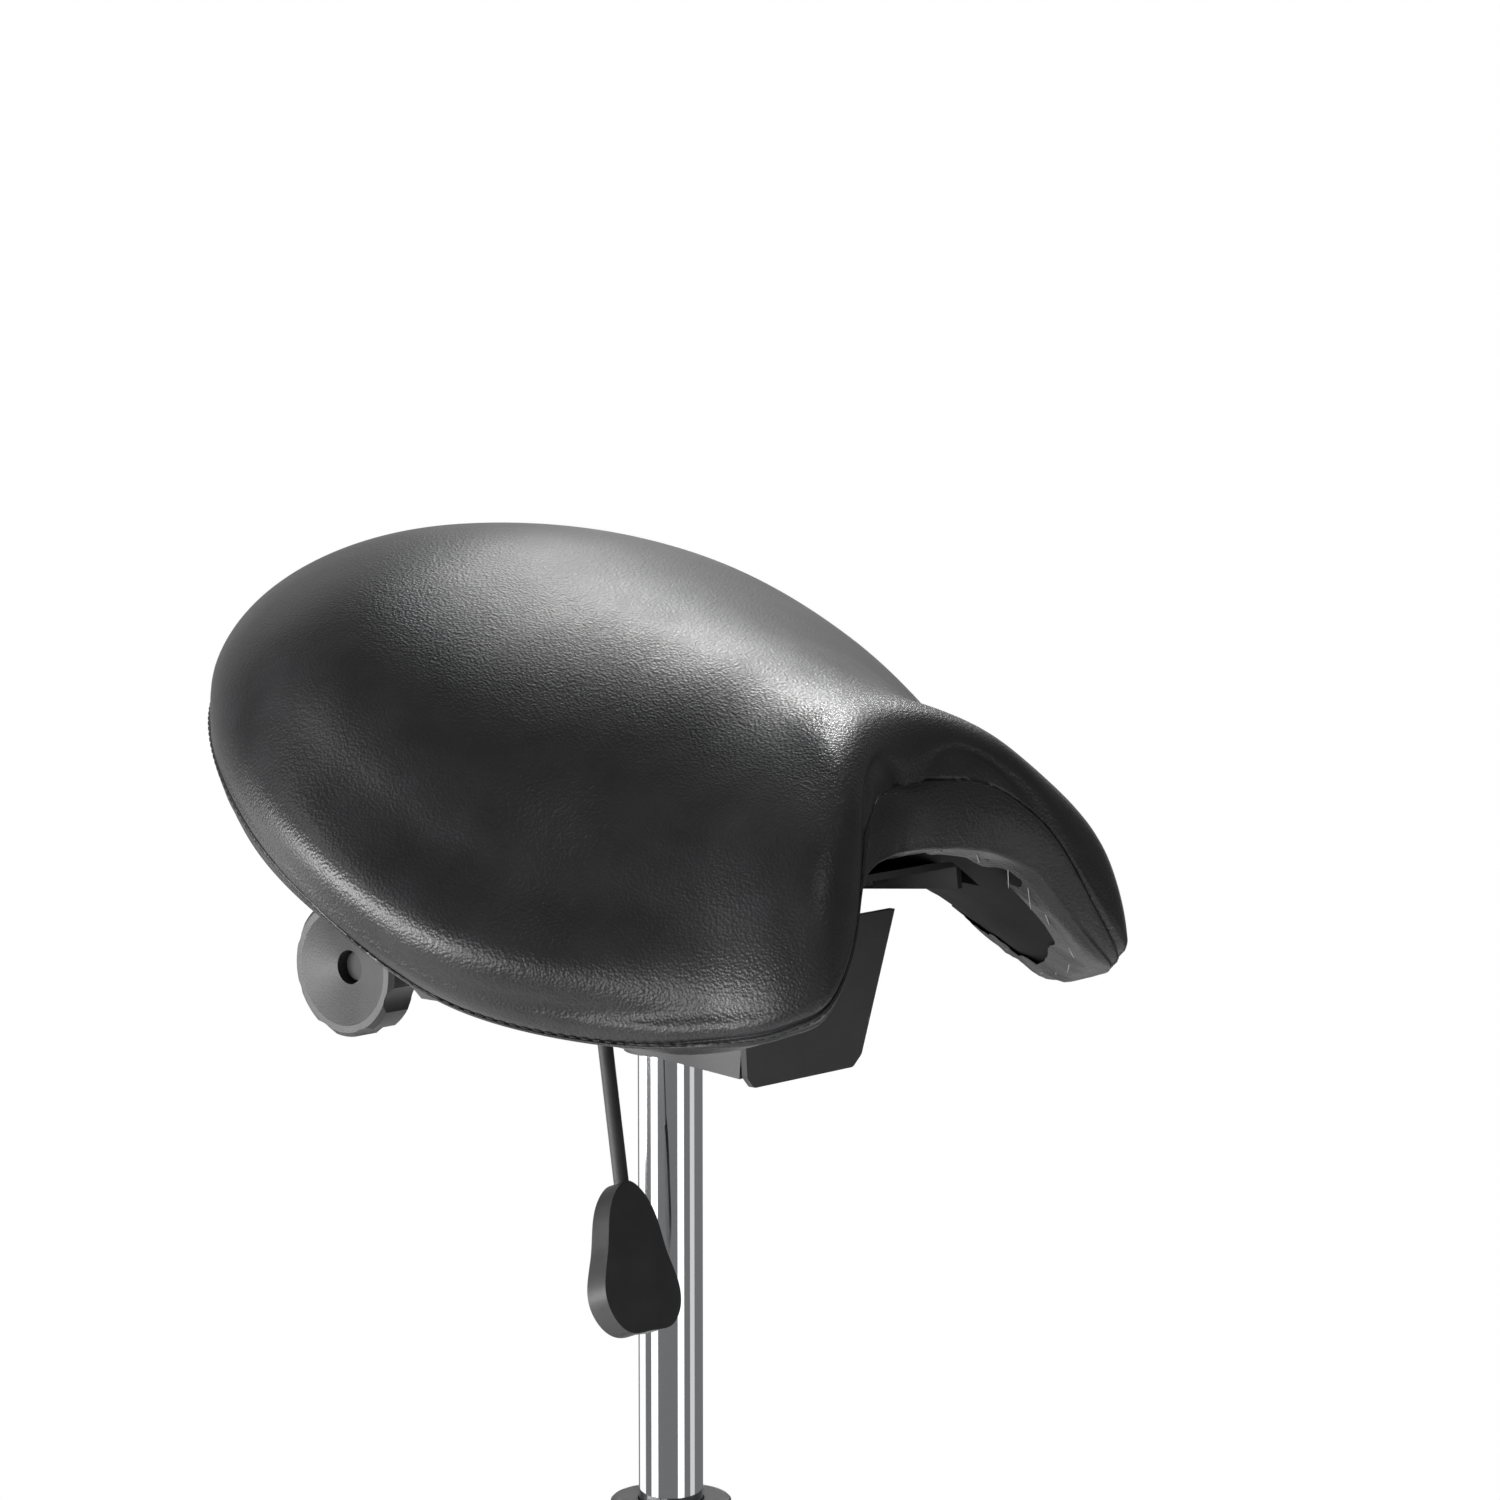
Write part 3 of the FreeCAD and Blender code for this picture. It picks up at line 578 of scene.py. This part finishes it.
# Stage, light and camera
CAMERA_REACH = 2.35        # camera to the column's axis, level
CAMERA_TURN = 42.0         # degrees from the sitter's right towards the front
CAMERA_RISE = 0.6297       # above the collar
CAMERA_PITCH = 7.32        # degrees down
CAMERA_YAW = 0.838         # degrees to the right of the column
LENS = 132.93

FLOOR_RADIUS = 0.85
FLOOR_SIDES = 96
WALL_REACH = 3.4
WALL_HALF = 2.2
WALL_HEIGHT = 3.2
WALL_LIFT = 0.002
WALL_GLOW = 0.55
WORLD_GREY = 0.17


def floor():
    """Pale disc under the throne."""
    verts = [(0, 0, 0)]
    for k in range(FLOOR_SIDES):
        turn = 2 * math.pi * k / FLOOR_SIDES
        verts.append((FLOOR_RADIUS * math.cos(turn), FLOOR_RADIUS * math.sin(turn), 0))
    faces = [(0, 1 + k, 1 + (k + 1) % FLOOR_SIDES) for k in range(FLOOR_SIDES)]
    mesh = bpy.data.meshes.new("floor")
    mesh.from_pydata(verts, [], faces)
    mesh.materials.append(plain_floor())
    piece = bpy.data.objects.new("floor", mesh)
    bpy.context.scene.collection.objects.link(piece)


def lamp(name, where, aim, size, power, spread=180):
    """Soft box; a spread below 180 degrees is a grid in front of it."""
    light = bpy.data.lights.new(name, "AREA")
    light.shape = "RECTANGLE"
    light.size, light.size_y = size
    light.energy = power
    light.spread = math.radians(spread)
    piece = bpy.data.objects.new(name, light)
    piece.location = where
    piece.rotation_euler = (Vector(aim) - Vector(where)).to_track_quat("-Z", "Y").to_euler()
    bpy.context.scene.collection.objects.link(piece)


def glowing(name, strength):
    """Even white panel that the object sees as a bright wall."""
    material = bpy.data.materials.new(name)
    material.use_nodes = True
    tree = material.node_tree
    tree.nodes.remove(tree.nodes["Principled BSDF"])
    glow = add(tree, "ShaderNodeEmission", Strength=strength)
    glow.inputs["Color"].default_value = (1, 1, 1, 1)
    tree.links.new(glow.outputs["Emission"], tree.nodes["Material Output"].inputs["Surface"])
    return material


def backdrop():
    """Lit white wall standing behind the throne, square to the camera's level direction."""
    turn = math.radians(CAMERA_TURN)
    middle = Vector((math.cos(turn), math.sin(turn), 0)) * WALL_REACH
    side = Vector((math.sin(turn), -math.cos(turn), 0)) * WALL_HALF
    rise = Vector((0, 0, WALL_HEIGHT))
    mesh = bpy.data.meshes.new("backdrop")
    base = middle + Vector((0, 0, WALL_LIFT))
    verts = [base - side, base + side, base + side + rise, base - side + rise]
    mesh.from_pydata([tuple(v) for v in verts], [], [(0, 1, 2, 3)])
    mesh.materials.append(glowing("backdrop_glow", WALL_GLOW))
    piece = bpy.data.objects.new("backdrop", mesh)
    bpy.context.scene.collection.objects.link(piece)
    piece.visible_camera = False


def around(turn_left, reach, height):
    """Spot round the throne, turned to the camera's left in degrees."""
    turn = math.radians(CAMERA_TURN - turn_left)
    return Vector((-math.cos(turn) * reach, -math.sin(turn) * reach, height))


def surroundings():
    """White seen directly, a dim even grey for everything the throne reflects or is lit by."""
    world = bpy.data.worlds.new("studio")
    bpy.context.scene.world = world
    world.use_nodes = True
    tree = world.node_tree
    grey = tree.nodes["Background"]
    grey.inputs["Color"].default_value = (1, 1, 1, 1)
    grey.inputs["Strength"].default_value = WORLD_GREY
    white = add(tree, "ShaderNodeBackground", Strength=1.0)
    white.inputs["Color"].default_value = (1, 1, 1, 1)
    path = add(tree, "ShaderNodeLightPath")
    mix = add(tree, "ShaderNodeMixShader")
    tree.links.new(path.outputs["Is Camera Ray"], mix.inputs[0])
    tree.links.new(grey.outputs["Background"], mix.inputs[1])
    tree.links.new(white.outputs["Background"], mix.inputs[2])
    tree.links.new(mix.outputs["Shader"], tree.nodes["World Output"].inputs["Surface"])


# Soft boxes on the seat: turn, distance and height, height aimed at, width and height of the box, power
SEAT_LAMPS = (
    ("left_key", (75, 1.7, 1.6), 0.6, (1.0, 0.5), 3),
    ("left_horizon", (68, 1.9, 0.38), 0.5, (1.9, 0.36), 40),
    ("left_front", (26, 1.9, 0.4), 0.5, (0.7, 0.32), 7),
    ("left_low", (103, 2.05, 0.3), 0.5, (0.75, 0.5), 4),
    ("front_high", (-31, 1.7, 2.4), 0.6, (0.5, 0.5), 3),
)
# Low boxes that draw the stripes on the chromed tube: turn, width, power
COLUMN_STRIPS = (
    ("left_strip", 60, 0.9, 2.6), ("left_rear", 125, 1.6, 3.0),
    ("right_strip", -37, 0.8, 1.9), ("right_side", -84, 0.7, 0.7),
)
STRIP_REACH = 1.9
STRIP_HEIGHT = -0.08
STRIP_TALL = 0.62


def lights():
    """A high pair behind for the dome, low boxes for the roll, and strips for the column."""
    bpy.context.scene.view_settings.view_transform = "Standard"
    lamp("far_top", around(-169, 2.2, 2.55), (0, 0, 0.65), (1.3, 1.1), 18)
    lamp("far_grid", around(-169, 2.1, 2.9), around(-80, 0.24, 0.66), (0.45, 1.7), 0.9, 9)
    for name, spot, aim, size, power in SEAT_LAMPS:
        lamp(name, around(*spot), (0, 0, aim), size, power)
    for name, turn, width, power in COLUMN_STRIPS:
        spot = around(turn, STRIP_REACH, STRIP_HEIGHT)
        lamp(name, spot, (0, 0, STRIP_HEIGHT), (width, STRIP_TALL), power)


def camera():
    """The photograph's view."""
    turn = math.radians(CAMERA_TURN)
    data = bpy.data.cameras.new("photo_view")
    data.lens = LENS
    data.sensor_width = 36
    piece = bpy.data.objects.new("photo_view", data)
    spot = around(0, CAMERA_REACH, 0)
    piece.location = spot + Vector((0, 0, COLLAR_TOP * MM + CAMERA_RISE))
    level = Vector((math.cos(turn), math.sin(turn), 0))
    right = level.cross(Vector((0, 0, 1)))
    yaw = math.radians(CAMERA_YAW)
    pitch = math.radians(CAMERA_PITCH)
    heading = level * math.cos(yaw) + right * math.sin(yaw)
    forward = heading * math.cos(pitch) - Vector((0, 0, math.sin(pitch)))
    piece.rotation_euler = forward.to_track_quat("-Z", "Y").to_euler()
    bpy.context.scene.collection.objects.link(piece)
    bpy.context.scene.camera = piece


random.seed(4)
dress_frame()
cover_top()
side_band()
stitches()
staples()
floor()
backdrop()
surroundings()
lights()
camera()
